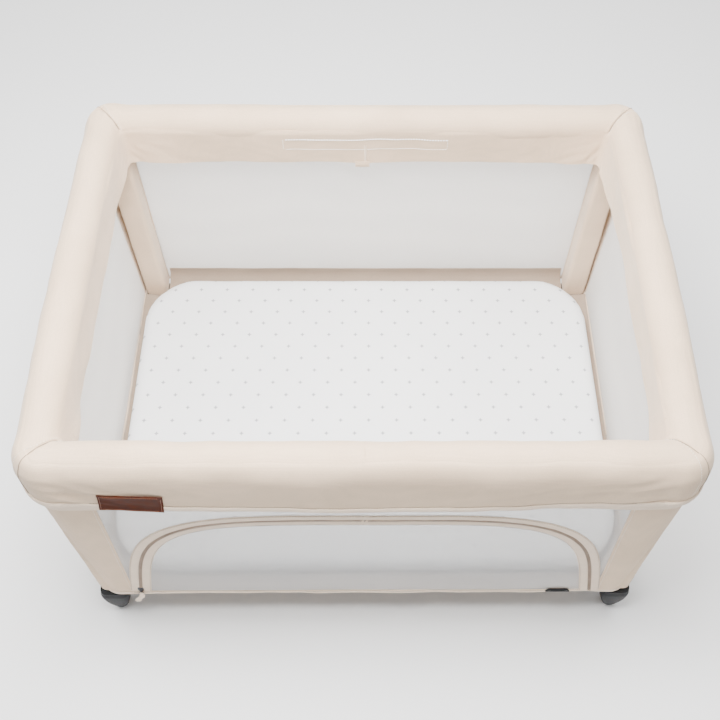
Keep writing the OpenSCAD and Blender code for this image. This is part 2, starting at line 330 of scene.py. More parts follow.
class Finish:
    """A procedural material being built: its nodes end in the Principled shader."""

    def __init__(self, name):
        self.material = bpy.data.materials.new(name)
        self.material.use_nodes = True
        self.nodes, self.links = self.material.node_tree.nodes, self.material.node_tree.links
        self.shader = self.nodes["Principled BSDF"]
        self.coords = self.nodes.new("ShaderNodeTexCoord").outputs["Object"]

    def put(self, node, values):
        """Sets a node's inputs, each from a number, a colour or another node's output."""
        for socket, value in values.items():
            if isinstance(value, (int, float)):
                node.inputs[socket].default_value = value
            elif isinstance(value, tuple):
                node.inputs[socket].default_value = (*value, 1)
            else:
                self.links.new(value, node.inputs[socket])

    def shade(self, values):
        self.put(self.shader, values)

    def texture(self, kind, values, out):
        node = self.nodes.new(kind)
        self.put(node, {"Vector": self.coords, **values})
        return node.outputs[out]

    def noise(self, scale, detail=3.0):
        return self.texture("ShaderNodeTexNoise", {"Scale": scale, "Detail": detail, "Roughness": 0.55},
                            "Fac")

    def cells(self, scale, randomness=1.0):
        return self.texture("ShaderNodeTexVoronoi", {"Scale": scale, "Randomness": randomness}, "Distance")

    def ridges(self, axis, pitch):
        """Ridges a pitch apart, across one axis."""
        node = self.nodes.new("ShaderNodeTexWave")
        node.bands_direction = axis
        self.put(node, {"Vector": self.coords, "Scale": WAVE_SCALE / pitch, "Distortion": 0.6, "Detail": 1.0,
                        "Detail Scale": 1.5})
        return node.outputs["Fac"]

    def ramp(self, fac, stops):
        """Colours or greys by fac: stops are (fac, colour or grey) pairs."""
        node = self.nodes.new("ShaderNodeValToRGB")
        for element, (at, colour) in zip(node.color_ramp.elements, stops):
            element.position = at
            element.color = (*(colour if isinstance(colour, tuple) else (colour,) * 3), 1)
        self.links.new(fac, node.inputs["Fac"])
        return node.outputs["Color"]

    def mix(self, kind, fac, a, b):
        node = self.nodes.new("ShaderNodeMixRGB")
        node.blend_type = kind
        self.put(node, {"Fac": fac, "Color1": a, "Color2": b})
        return node.outputs["Color"]

    def math(self, kind, *values):
        node = self.nodes.new("ShaderNodeMath")
        node.operation = kind
        self.put(node, dict(enumerate(values)))
        return node.outputs[0]

    def bump(self, height, strength, distance, under=None):
        node = self.nodes.new("ShaderNodeBump")
        self.put(node, {"Strength": strength, "Distance": distance, "Height": height})
        if under is not None:
            self.links.new(under, node.inputs["Normal"])
        self.links.new(node.outputs["Normal"], self.shader.inputs["Normal"])
        return node.outputs["Normal"]


def darker(colour, by):
    return tuple(c * by for c in colour)


def woven(name, light, dark, pitch=0.0016):
    """Plain woven cloth: crossed threads, slubs and slow changes of tone."""
    f = Finish(name)
    threads = [f.ridges(axis, pitch) for axis in ("X", "Y", "Z")]
    weave = f.math("ADD", f.math("ADD", threads[0], threads[1]), threads[2])
    slubs, tone = f.noise(420, 2.0), f.noise(9, 4.0)
    mottled = f.ramp(tone, ((0.3, dark), (0.7, light)))
    fine = f.ramp(slubs, ((0.25, darker(dark, 0.9)), (0.75, light)))
    colour = f.mix("MIX", 0.35, mottled, fine)
    thread_tone = f.ramp(f.math("DIVIDE", weave, 3.0), ((0.2, 0.93), (0.8, 1.0)))
    f.shade({"Base Color": f.mix("MULTIPLY", 1.0, colour, thread_tone),
             "Roughness": f.ramp(slubs, ((0.2, 0.82), (0.8, 0.95))),
             "Sheen Weight": 0.25, "Sheen Roughness": 0.5, "Specular IOR Level": 0.2})
    folds = f.bump(f.noise(26), 0.12, 0.004)
    f.bump(f.math("ADD", weave, f.math("MULTIPLY", slubs, 1.5)), 0.35, 0.00025, folds)
    return f.material


def open_mesh(name, tint, alpha):
    """Fine knitted mesh: rows of small holes between threads, seen through in part."""
    f = Finish(name)
    holes = f.cells(420, 0.35)
    base = f.ramp(holes, ((0.1, darker(tint, 0.86)), (0.55, tint)))
    shade = f.ramp(f.noise(6, 2.0), ((0.3, (0.96, 0.96, 0.965)), (0.7, 1.0)))
    f.shade({"Base Color": f.mix("MULTIPLY", 1.0, base, shade),
             "Roughness": f.ramp(holes, ((0.1, 0.7), (0.6, 0.9))),
             "Alpha": alpha, "Sheen Weight": 0.15, "Specular IOR Level": 0.2})
    f.bump(holes, 0.4, 0.0003)
    return f.material


def moulded(name, colour, rough):
    """Moulded plastic: fine spark texture and faint flow marks."""
    f = Finish(name)
    grain = f.noise(900, 2.0)
    flow = f.noise(14, 4.0)
    f.shade({"Base Color": f.ramp(flow, ((0.35, darker(colour, 0.82)), (0.75, darker(colour, 1.25)))),
             "Roughness": f.ramp(grain, ((0.3, rough - 0.1), (0.7, rough + 0.1))),
             "Specular IOR Level": 0.15})
    f.bump(grain, 0.25, 0.0002)
    return f.material


def metal(name, colour, rough):
    f = Finish(name)
    patches = f.noise(20, 4.0)
    f.shade({"Base Color": f.ramp(patches, ((0.3, darker(colour, 0.88)), (0.7, colour))),
             "Roughness": f.ramp(patches, ((0.3, rough), (0.7, rough + 0.15))), "Metallic": 0.9})
    f.bump(f.noise(700), 0.1, 0.0001)
    return f.material


def leather(name):
    f = Finish(name)
    patches = f.noise(60, 5.0)
    f.shade({"Base Color": f.ramp(patches, ((0.3, (0.042, 0.0075, 0.0016)), (0.72, (0.075, 0.015, 0.0032)))),
             "Roughness": f.ramp(patches, ((0.3, 0.5), (0.7, 0.68))), "Specular IOR Level": 0.06})
    f.bump(f.cells(700), 0.5, 0.0003, f.bump(patches, 0.3, 0.0006))
    return f.material


cover = woven("cover_fabric", (0.79, 0.595, 0.42), (0.67, 0.495, 0.34))
trim = woven("trim_fabric", (0.87, 0.71, 0.56), (0.80, 0.64, 0.49), pitch=0.0012)
# The floor fabric's own brown, darkened further as painted shade for the shadowed floor and the inner band
# inside the walls
shade_darkened_lining = woven("floor_fabric", (0.40, 0.31, 0.235), (0.33, 0.25, 0.185), pitch=0.0014)
netting = open_mesh("wall_mesh", (0.93, 0.88, 0.82), 0.40)
front_netting = open_mesh("front_mesh", (0.60, 0.605, 0.61), 0.52)
thread = woven("stitching", (0.93, 0.88, 0.81), (0.86, 0.81, 0.73), pitch=0.0006)
bright_thread = woven("bright_stitching", (1.0, 0.98, 0.95), (0.95, 0.93, 0.90), pitch=0.0006)
seam_thread = woven("seam_thread", (0.36, 0.27, 0.19), (0.28, 0.20, 0.14), pitch=0.0006)
coil = moulded("zip_coil", (0.36, 0.27, 0.21), 0.45)
slider_metal = metal("slider_metal", (0.10, 0.10, 0.105), 0.35)
black_plastic = moulded("black_plastic", (0.013, 0.0137, 0.0155), 0.55)
grey_plastic = moulded("grey_plastic", (0.08, 0.08, 0.085), 0.5)
painted_steel = metal("frame_steel", (0.52, 0.52, 0.53), 0.35)
pin_steel = metal("pin_steel", (0.65, 0.65, 0.66), 0.25)
tag_leather = leather("tag_leather")
tag_thread = woven("tag_stitching", (0.34, 0.13, 0.07), (0.26, 0.09, 0.05), pitch=0.0006)

CAD_FINISH = {
    "frame_steel": painted_steel, "pin_steel": pin_steel, "black_plastic": black_plastic,
    "grey_plastic": grey_plastic, "cover_fabric": cover, "wall_mesh": netting, "floor_fabric": shade_darkened_lining,
    "sheet_fabric": trim, "tag_leather": tag_leather, "zip": slider_metal,
}
for part in frame["record"]["subparts"]:
    node = frame["nodes"][part["node"]]
    node.data.materials.clear()
    node.data.materials.append(CAD_FINISH[part["material_slot"]])

# ---------------------------------------------------------------- how fabric rides with the frame and hangs


def fold_with(piece, side, reach, body=None):
    """A piece that spans a side to reach before its leg lines rides with a leg, or with body if one is given.
    """
    (ax, ay), _, start = SIDES[side][:3]
    leg = WALL_LEG[side]
    sign = -1 if start == leg else 1
    anchor = place(side, sign * (half_of(side) - reach), 0, RAIL_Z)
    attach(piece, body or leg)
    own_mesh(piece)
    return piece


def ride(piece, body):
    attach(piece, body)
    return piece


def on_leg(piece, corner):
    return ride(piece, LEG_OF[corner])


def grid_of(columns, rows, point):
    """The grid of point(u, v), u from -1 to 1 and v from 0 to 1."""
    return [[point(u, v) for u in steps(-1, 1, columns)] for v in steps(0, 1, rows)]


def hanging(where, profile, wave=1.0):
    """point(u, v) of wrinkled cloth: where(u) gives (side, s) and profile(side, s, v) gives (o, z)."""
    def point(u, v):
        side, s = where(u)
        o, z = profile(side, s, v)
        p = bent(side, s, o, z)
        return bent(side, s, o + wave * soft_wave(p), z)
    return point


def tape_rings(where, centre, half_thick, half_high, columns):
    """Rings of a folded tape's round cross-section. centre(side, s) gives the (o, z) of its middle."""
    rows = []
    for u in steps(-1, 1, columns):
        side, s = where(u)
        o, z = centre(side, s)
        wave = soft_wave(bent(side, s, o, z))
        rows.append([bent(side, s, o + wave + squircle(a, 0.6)[0] * half_thick,
                          z + squircle(a, 0.45)[1] * half_high) for a in turns_of(10)])
    return rows


def closed_tube(rows):
    """Verts and faces of rings joined to a closed tube."""
    verts, faces = grid_mesh(rows, wrap=True)
    wide = len(rows[0])
    faces.append(tuple(range(wide)))
    faces.append(tuple(reversed(range(len(verts) - wide, len(verts)))))
    return verts, faces


def rim_tape(name, reach, centre, thick, high, pitch, corner_columns, corner_thick=None):
    """A tape of trim along each side and round each corner, meeting reach[side] before the leg lines."""
    for side in SIDES:
        rings = tape_rings(lambda u: in_span(side, reach[side], u), centre, thick / 2, high / 2,
                           round(half_of(side) / pitch))
        fold_with(new_piece(f"{name}_{side}", *closed_tube(rings), trim), side, reach[side])
    for corner in CORNERS:
        rings = tape_rings(lambda u: in_corner(corner, reach.get, u), centre, (corner_thick or thick) / 2,
                           high / 2, corner_columns)
        on_leg(new_piece(f"{name}_corner_{corner}", *closed_tube(rings), trim), corner)


def sheet_piece(name, rows, material, outward, thick):
    """Cloth through rows of points, thickened behind its face, and the area that it is cut from."""
    piece = new_piece(name, *grid_mesh(rows), material)
    cut = surface(piece)
    face_out(piece, outward)
    return thicken(piece, thick, -1), cut


def outward_of(side):
    return Vector((*SIDES[side][1], 0))


def from_playpen(c):
    """Outward at a face's middle c on a corner."""
    return Vector((c.x - 0.8 * math.copysign(LEG_X, c.x), c.y - 0.8 * math.copysign(LEG_Y, c.y), 0))


def rim_cloth(name, profile, rows, corner_columns, thick, inside=False):
    """Cover fabric hung from each roll and round each corner, shaped by profile."""
    for side in SIDES:
        grid = grid_of(round(half_of(side) / 0.004), rows,
                       hanging(lambda u: in_span(side, COLUMN, u), profile))
        cloth, cut = sheet_piece(f"{name}_{side}", grid, cover,
                                 lambda c: outward_of(side) * (-1 if inside else 1), thick)
        fold_with(cloth, side, COLUMN)
    for corner in CORNERS:
        grid = grid_of(corner_columns, rows, hanging(lambda u: in_corner(corner, COLUMNS.get, u), profile,
                                                     0.5 if inside else 1.0))
        outward = (lambda c: Vector((-c.x, -c.y, 0))) if inside else from_playpen
        on_leg(sheet_piece(f"{name}_corner_{corner}", grid, cover, outward, thick)[0], corner)


def stitch_row(name, path, length, material, pitch=0.0046, long=0.0032, wide=0.0009, high=0.0005):
    """A row of stitches along path(t), t from 0 to length in metres, which gives (point, normal)."""
    verts, faces = [], []
    for i in range(int(length / pitch)):
        t = (i + 0.5) * pitch
        at, normal = path(t)
        along = (path(min(t + 0.001, length))[0] - path(max(t - 0.001, 0))[0]).normalized()
        side = along.cross(normal).normalized()
        base = len(verts)
        for step, size in ((-0.5, 0.35), (-0.28, 1.0), (0.28, 1.0), (0.5, 0.35)):
            for a, b in ((1, 0), (0, 1), (-1, 0), (0, -0.6)):
                verts.append(at + along * step * long + side * a * wide / 2 * size + normal * b * high * size)
        for ring in range(3):
            for j in range(4):
                k = (j + 1) % 4
                low, high_ring = base + ring * 4, base + ring * 4 + 4
                faces.append((low + j, low + k, high_ring + k, high_ring + j))
        faces.append((base + 3, base + 2, base + 1, base))
        faces.append((base + 12, base + 13, base + 14, base + 15))
    return new_piece(name, verts, faces, material)


SEAM_STITCH = {"long": 0.0044, "wide": 0.0010}


def seam_dip(distance):
    return 0.0026 * math.exp(-(distance / 0.0034) ** 2)


def mitre_bulge(side, s):
    return 0.0028 * smooth(1 - (mitre_s(side) - abs(s)) / 0.045)


def corner_folds(side, s, z, seed):
    """Soft slanting folds that fade out away from the corner."""
    away = mitre_s(side) - abs(s)
    p = bent(side, s, 0, z)
    slant = noise.noise(Vector((p.x / 0.06 + seed, p.y / 0.06, (z + 0.35 * away) / 0.017)))
    return 0.0048 * math.exp(-away / 0.14) * smooth(away / 0.02) * slant


BLEND_FROM, BLEND_TO = 0.034, 0.090  # from the leg lines, where roll_half marks two points on each roll


def roll_half(side, end):
    """Half of a side's padded roll, from its closed end mid-side to the corner's mitre."""
    sign = -1 if end == 0 else 1
    last, around = mitre_s(side), 60
    rows = []
    for inset, size in ((0.010, 0.02), (0.009, 0.5), (0.005, 0.85), (0.001, 0.985)):
        r = size * COVER_R
        rows.append([bent(side, sign * inset, r * math.cos(a), RAIL_Z + r * math.sin(a))
                     for a in turns_of(around)])
    straight = half_of(side) - CORNER_R
    stops = steps(0.0, straight, round(straight / 0.005)) + steps(straight, last, 16)[1:]
    for s in stops:
        ring = []
        from_mitre = last - s
        for a in turns_of(around):
            out, up = math.cos(a), math.sin(a)
            p = bent(side, sign * s, COVER_R * out, RAIL_Z + COVER_R * up)
            pucker = 0.0007 * math.exp(-from_mitre / 0.022) * math.sin(11 * a + 40 * p.z)
            bulge = mitre_bulge(side, s) * max(out, 0)
            r = COVER_R + soft_wave(p) - seam_dip(from_mitre) + pucker + bulge
            ring.append(bent(side, sign * s, r * out, RAIL_Z + r * up))
        rows.append(ring)
    leg, rail = SIDES[side][2 + end], SIDES[side][4 + end]
    piece = new_piece(rail.replace("rail", "rail_pad"), *grid_mesh(rows, wrap=True), cover)
    face_out(piece, lambda c: c - nearest_core(side, c))
    near = place(side, sign * (half_of(side) - BLEND_FROM), 0, RAIL_Z)
    far = place(side, sign * (half_of(side) - BLEND_TO), 0, RAIL_Z)
    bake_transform(piece)
    return piece


def nearest_core(side, c):
    """The point of a side's rounded rail line next to c."""
    (ax, ay), _ = SIDES[side][:2]
    s = c.x * ax + c.y * ay
    bend = half_of(side) - CORNER_R
    if abs(s) <= bend:
        return place(side, s, 0, RAIL_Z)
    middle_of = place(side, math.copysign(bend, s), -CORNER_R, RAIL_Z)
    across = Vector((c.x, c.y, RAIL_Z)) - middle_of
    return middle_of + across.normalized() * CORNER_R


for side in SIDES:
    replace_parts(roll_half(side, 0), f"rail_cover_{side}")
    roll_half(side, 1)

# ---------------------------------------------------------------- skirts outside, with their bindings


SKIRT_TURN = 0.26  # the share of the skirt's height that lies round the roll
SKIRT_LEAVES, SKIRT_TUCKED = math.radians(30), math.radians(70)
SKIRT_LIFT = 0.0006
SKIRT_R = COVER_R + SKIRT_LIFT
SKIRT_TOP_Z = RAIL_Z + SKIRT_R * math.sin(SKIRT_LEAVES)
SKIRT_STEEP = 6.9
HEM_RISE = 0.026
HEM_FOLD = 0.004
BINDING_H, BINDING_THICK = 0.013, 0.0056


def hem_z(side, s):
    """Height of the skirt's lower edge, which sags between the corners."""
    return SKIRT_Z + HEM_RISE * (s / mitre_s(side)) ** 2


def skirt_share(side, s, z):
    """The v of skirt_profile at height z, below where the skirt leaves the roll."""
    return SKIRT_TURN + (1 - SKIRT_TURN) * (SKIRT_TOP_Z - z) / (SKIRT_TOP_Z - hem_z(side, s) - HEM_FOLD)


def skirt_profile(side, s, v):
    """Out of the roll at its shoulder, round with it, then off at a tangent and down to the hem."""
    if v < SKIRT_TURN:
        left = 1 - v / SKIRT_TURN
        r = SKIRT_R - TUCK_DEPTH * smooth(2 * left - 1) + mitre_bulge(side, s)
        angle = SKIRT_LEAVES + (SKIRT_TUCKED - SKIRT_LEAVES) * left
        return r * math.cos(angle), RAIL_Z + r * math.sin(angle)
    fall = (v - SKIRT_TURN) / (1 - SKIRT_TURN)
    z = SKIRT_TOP_Z + fall * (hem_z(side, s) + HEM_FOLD - SKIRT_TOP_Z)
    start = (SKIRT_R + mitre_bulge(side, s)) * math.cos(SKIRT_LEAVES)
    p = bent(side, s, COVER_R, z)
    sway = ripple((p.x, p.y, 0.4 * z), 0.16, 0.0026, 3.0) * fall
    sway += corner_folds(side, s, z, 2.0) * math.sin(math.pi * fall * 0.85)
    return start + (SKIRT_OUT - COVER_R * math.cos(SKIRT_LEAVES)) * (1 - (1 - fall) ** SKIRT_STEEP) + sway, z


def hem_offset(side, s):
    return skirt_profile(side, s, 1.0)[0]


def binding_centre(side, s):
    return hem_offset(side, s) - 0.0004, hem_z(side, s) + BINDING_H / 2


def skirts():
    rim_cloth("skirt", skirt_profile, 28, 46, 0.0016)
    rim_tape("skirt_binding", COLUMNS, binding_centre, BINDING_THICK, BINDING_H, 0.004, 46)
    for side in SIDES:
        reach = half_of(side) - COLUMN
        fold_with(stitch_row(f"skirt_stitching_{side}", row_on_skirt(side, -reach), 2 * reach, seam_thread,
                             **SEAM_STITCH), side, COLUMN)


def row_on_skirt(side, first):
    """The path of the seam just above the binding."""
    out = outward_of(side)

    def path(t):
        s = first + t
        z = hem_z(side, s) + BINDING_H + 0.0012
        o = skirt_profile(side, s, skirt_share(side, s, z))[0]
        return bent(side, s, o + soft_wave(bent(side, s, o, z)), z) + out * 0.0002, out
    return path


CORNER_DROP = 0.112
MITRE_FIRST, MITRE_LAST = -0.074, 0.101
CORD_R, CORD_SINK = 0.0008, 0.0016


def mitre_point(side, q, past, sink):
    """A point q metres down the corner's seam from the skirt's top, or up over the roll if q is negative."""
    s = mitre_s(side) - past
    if q < 0:
        a = SKIRT_TUCKED - q / COVER_R
        out, up = math.cos(a), math.sin(a)
        r = COVER_R - sink + mitre_bulge(side, s) * max(out, 0)
        r += soft_wave(bent(side, s, COVER_R * out, RAIL_Z + COVER_R * up))
        return bent(side, s, r * out, RAIL_Z + r * up)
    o, z = skirt_profile(side, s, q / CORNER_DROP)
    return bent(side, s, o + soft_wave(bent(side, s, o, z)) + 0.0002, z)


def mitre_seams():
    """A cord along each corner's mitre and down its skirt, with a stitched row beside it."""
    for corner, (side, _) in CORNERS.items():
        core = bent(side, mitre_s(side), 0, RAIL_Z - 0.03)
        across = Vector((*SIDES[side][0], 0))

        def path(q, past=0.0, sink=CORD_SINK):
            at = mitre_point(side, q, past, sink)
            along = mitre_point(side, q + 0.001, past, sink) - mitre_point(side, q - 0.001, past, sink)
            return at, along.cross(across).normalized()

        rings = []
        for q in steps(MITRE_FIRST, MITRE_LAST, 90):
            at, out = path(q)
            out = out if out.dot(at - core) > 0 else -out
            rings.append([at + (across * math.cos(t) + out * math.sin(t)) * CORD_R for t in turns_of(8)])
        on_leg(new_piece(f"mitre_cord_{corner}", *closed_tube(rings), seam_thread), corner)

        def beside(t):
            at, out = path(t + MITRE_FIRST + 0.002, past=0.0055, sink=0.0)
            return at, out if out.dot(at - core) > 0 else -out
        length = MITRE_LAST - MITRE_FIRST - 0.004
        on_leg(stitch_row(f"mitre_stitching_{corner}", beside, length, thread), corner)


skirts()
mitre_seams()

# ---------------------------------------------------------------- flaps inside, below the rolls


FLAP_R = COVER_R + 0.0002
FLAP_EDGE_O, FLAP_EDGE_Z = -0.036, 0.566
TUCK = 0.15  # the share of the flap's height that lies round the roll


def flap_profile(side, s, v):
    """Off the roll's inner face at a tangent, then down to the flap's edge, which hangs open mid-side."""
    open_by = smooth((half_of(side) - abs(s) - 0.055) / 0.12)
    edge_o, edge_z = FLAP_EDGE_O + 0.0085 * open_by, FLAP_EDGE_Z - 0.008 * open_by - RAIL_Z
    leaves = math.pi / 2 - math.atan2(-edge_o, -edge_z) - math.acos(COVER_R / math.hypot(edge_o, edge_z))
    if v < TUCK:
        hidden = 1 - v / TUCK
        angle = leaves - math.radians(16) * hidden
        r = FLAP_R - TUCK_DEPTH * hidden
        return -r * math.cos(angle), RAIL_Z - r * math.sin(angle)
    down = (v - TUCK) / (1 - TUCK)
    o, z = -FLAP_R * math.cos(leaves), -FLAP_R * math.sin(leaves)
    o, z = o + (edge_o - o) * down, RAIL_Z + z + (edge_z - z) * down
    p = bent(side, s, o, z)
    return o + (ripple((p.x, p.y, 0.5 * p.z), 0.10, 0.0040, 11.0) + corner_folds(side, s, z, 5.0)) * down, z


def flaps():
    rim_cloth("cover_flap", flap_profile, 20, 40, 0.0018, inside=True)


flaps()

# ---------------------------------------------------------------- mesh walls, their borders and bands


WALL_TOP_Z = SKIRT_Z + 0.034
NET_LIFT, NET_THICK = -0.0012, 0.0007
BAND_H, TOP_BAND_H = 0.012, 0.031


def net_wave(p):
    return ripple((p.x, p.y, p.z * 0.6), 0.22, 0.0016, 21.0)


def wall_level(v):
    return WALL_TOP_Z + v * (WALL_Z + 0.004 - WALL_TOP_Z)


def net_at(side, s, z, wave=1.0):
    o = wall_out(z) + NET_LIFT
    return bent(side, s, o + net_wave(bent(side, s, o, z)) * wave, z)


def net_point(side):
    def point(u, v):
        z = wall_level(v)
        return net_at(side, u * (half_of(side) - border_reach(side, z) + 0.003), z, 1 - u ** 8)
    return point


def border_at(corner, u, z, short, lift):
    """A point of a corner's fabric border, short of its edge and lifted off it."""
    side, s = in_corner(corner, lambda side: border_reach(side, z) - short, u)
    p = bent(side, s, wall_out(z), z)
    crease = ripple((p.x * 1.5, p.y * 1.5, p.z * 0.35), 0.05, 0.0014, 31.0)
    return bent(side, s, wall_out(z) + lift + crease, z), outward_of(side)


def borders():
    for corner in CORNERS:
        grid = grid_of(40, 60, lambda u, v: border_at(corner, u, wall_level(v), 0, -0.0002)[0])
        on_leg(sheet_piece(f"wall_border_{corner}", grid, cover, from_playpen, 0.0018)[0], corner)
        for end, name in ((-1, "before"), (1, "after")):
            on_leg(stitch_row(f"border_stitching_{corner}_{name}",
                              lambda t: border_at(corner, end, SKIRT_Z - 0.002 - t, 0.005, 0),
                              SKIRT_Z - WALL_Z - 0.016, thread), corner)


def band_centre(side, s):
    z = WALL_Z + BAND_H / 2
    return wall_out(z) - 0.0008, z


def top_band_centre(side, s):
    z = SKIRT_Z + TOP_BAND_H / 2 + 0.001
    return wall_out(z) + 0.0014, z


def bands():
    """The bands along each wall's foot and its top, which shows where the skirt's hem rises."""
    rim_tape("wall_top_band", COLUMNS, top_band_centre, 0.0026, TOP_BAND_H, 0.006, 40)
    rim_tape("wall_band", BORDER_LOW, band_centre, 0.0038, BAND_H, 0.005, 40, corner_thick=0.0042)


def band_seams():
    """A stitched seam along the top of each wall's band."""
    z = WALL_Z + BAND_H + 0.0004
    for side in SIDES:
        reach, o = half_of(side) - BORDER_LOW[side], band_centre(side, 0)[0]

        def path(t):
            p = bent(side, t - reach, o, z)
            return bent(side, t - reach, o + soft_wave(p) + 0.0016, z), outward_of(side)
        row = stitch_row(f"band_stitching_{side}", path, 2 * reach, seam_thread, **SEAM_STITCH)
        fold_with(row, side, BORDER_LOW[side])


def plain_walls():
    for side in ("right", "back", "left"):
        grid = grid_of(round(half_of(side) / 0.008), 40, net_point(side))
        net, _ = sheet_piece(f"mesh_wall_{side}", grid, netting, lambda c: outward_of(side), NET_THICK)
        fold_with(net, side, BORDER_TOP[side])
        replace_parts(net, f"wall_{side}")


def back_lining():
    """The strip of floor fabric that stands up inside the back wall."""
    reach, high = 0.034, 0.034

    def profile(side, s, v):
        z = FLOOR_Z + 0.001 + v * high
        return wall_out(z) - 0.0042 - 0.018 * (1 - v) ** 3, z

    grid = grid_of(160, 8, hanging(lambda u: in_span("back", reach, u), profile, 0.5))
    strip, _ = sheet_piece("floor_upstand_back", grid, shade_darkened_lining, lambda c: FORWARD, 0.0014)
    fold_with(strip, "back", reach)


back_lining()
bands()
band_seams()
borders()
plain_walls()

# ---------------------------------------------------------------- front wall with its zipped door


def door_share(t):
    """The outline's half width, as a share of its foot's, at t of the door's height."""
    return (1 - min(t, 1.0) ** DOOR_POWER) ** (1 / DOOR_POWER) * (1 - DOOR_LEAN * t)


def door_height(s, edge=0.0):
    """Height above the door's foot of its outline, edge outside it."""
    want = abs(s) / (DOOR_HALF + edge)
    low, high = 0.0, 1.0
    for _ in range(24):
        t = (low + high) / 2
        low, high = (t, high) if door_share(t) > want else (low, t)
    return (DOOR_H + edge) * low


def outline(turn):
    """(s, z) of the door's outline for turn from 0 at its right foot to pi at its left foot."""
    c, n = math.cos(turn), max(math.sin(turn), 0.0)
    up = n ** (2 / DOOR_POWER)
    across = math.copysign(abs(c) ** (2 / DOOR_POWER), c) * (1 - DOOR_LEAN * up)
    return across * DOOR_HALF, DOOR_Z + up * DOOR_H


def arch(turn, edge=0.0):
    """(s, z, normal) of the outline, moved outward by edge."""
    s, z = outline(turn)
    (s0, z0), (s1, z1) = outline(max(turn - 0.004, 0)), outline(min(turn + 0.004, math.pi))
    ds, dz = s1 - s0, z1 - z0
    size = math.hypot(ds, dz)
    normal = (dz / size, -ds / size)
    return s + normal[0] * edge, z + normal[1] * edge, normal


def arch_stops(pitch):
    """Turns along the outline, evenly spaced by its length."""
    fine = [math.pi * i / 4000 for i in range(4001)]
    points = [arch(t)[:2] for t in fine]
    total, marks = 0.0, [0.0]
    for (a, b), (c, d) in zip(points, points[1:]):
        total += math.hypot(c - a, d - b)
        marks.append(total)
    count = round(total / pitch)
    out, j = [], 0
    for i in range(count + 1):
        want = total * i / count
        while j < len(marks) - 2 and marks[j + 1] < want:
            j += 1
        share = (want - marks[j]) / max(marks[j + 1] - marks[j], 1e-9)
        out.append(fine[j] + (fine[j + 1] - fine[j]) * min(share, 1))
    return out, total


def front_net():
    """The mesh outside the door: columns from the arch up to the skirt, and at the sides from the band."""
    edge = half_of("front") - BORDER_LOW["front"] + 0.002
    inner = DOOR_HALF + 0.004
    stops = [-edge + (edge - inner) * i / 8 for i in range(8)]
    stops += [-inner * math.cos(math.pi * i / 160) for i in range(161)]
    stops += [inner + (edge - inner) * (i + 1) / 8 for i in range(8)]
    rows = []
    for v in steps(0, 1, 24):
        row = []
        for s in stops:
            low = DOOR_Z + door_height(s, 0.004) if abs(s) < inner else WALL_Z + 0.004
            z = low + (WALL_TOP_Z - low) * v
            limit = half_of("front") - border_reach("front", z) + 0.003
            row.append(net_at("front", max(-limit, min(limit, s)), z))
        rows.append(row)
    net, cut = sheet_piece("mesh_wall_front", rows, front_netting, lambda c: FORWARD, NET_THICK)
    fold_with(net, "front", BORDER_TOP["front"])
    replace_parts(net, "wall_front")


DOOR_WAVE = 0.6
TAPE_LIFT = 0.0006
COIL_TURN = ((-1, -1, 0), (1, -1, 0), (1, 1, 0), (-1, 1, 0),
             (-0.6, -0.7, 1), (0.6, -0.7, 1), (0.6, 0.7, 1), (-0.6, 0.7, 1))


def sag(s, z):
    """How far the door's slack mesh hangs off the wall's plane."""
    up = (z - DOOR_Z) / DOOR_H
    return 0.0016 * math.sin(math.pi * min(max(up, 0), 1)) * math.cos(math.pi * s / (2 * DOOR_HALF))


def by_zip(s, z, lift):
    """A point lift out from the front wall near the zip, waving with the door's mesh."""
    return place("front", s, wall_out(z) + lift + DOOR_WAVE * net_wave(place("front", s, 0, z)), z)


def arch_at(turn, edge, lowest):
    """A point edge outside the arch and its direction there, kept above the band by lowest."""
    s, z, direction = arch(turn, edge)
    return s, max(z, WALL_Z + lowest), direction


def door_net():
    inner = DOOR_HALF - 0.004
    rows = []
    for v in steps(0, 1, 40):
        row = []
        for i in range(161):
            s = -inner * math.cos(math.pi * i / 160)
            z = DOOR_Z + door_height(s, -0.004) * v
            o = wall_out(z) + NET_LIFT
            row.append(place("front", s, o + DOOR_WAVE * net_wave(place("front", s, o, z)) + sag(s, z), z))
        rows.append(row)
    net = new_piece("zip_door_mesh", *grid_mesh(rows), front_netting)
    reshape(net, lambda mesh: bmesh.ops.remove_doubles(mesh, verts=mesh.verts, dist=1e-6))
    face_out(net, lambda c: FORWARD)
    thicken(net, NET_THICK, -1)
    fold_with(net, "front", BORDER_TOP["front"], body="door")
    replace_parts(net, "zip_door")


def on_front(piece, body):
    return fold_with(piece, "front", BORDER_TOP["front"], body=body)


def tape(name, near, far, body):
    """A flat tape along the arch from near to far outside its outline, with soft edges."""
    across = [(near + (far - near) * share, up) for share, up in
              ((0, -0.3), (0.06, 0.6), (0.3, 0.9), (0.7, 0.9), (0.94, 0.6), (1, -0.3))]
    rows = []
    for turn in arch_stops(0.006)[0]:
        front, back = [], []
        for edge, up in across:
            s, z, _ = arch_at(turn, edge, 0.006)
            crease = ripple(place("front", s, 0, z), 0.03, 0.0005)
            front.append(by_zip(s, z, TAPE_LIFT + 0.0007 * up + crease))
            back.append(by_zip(s, z, TAPE_LIFT - 0.0008))
        rows.append(front + back[::-1])
    on_front(new_piece(name, *closed_tube(rows), trim), body)


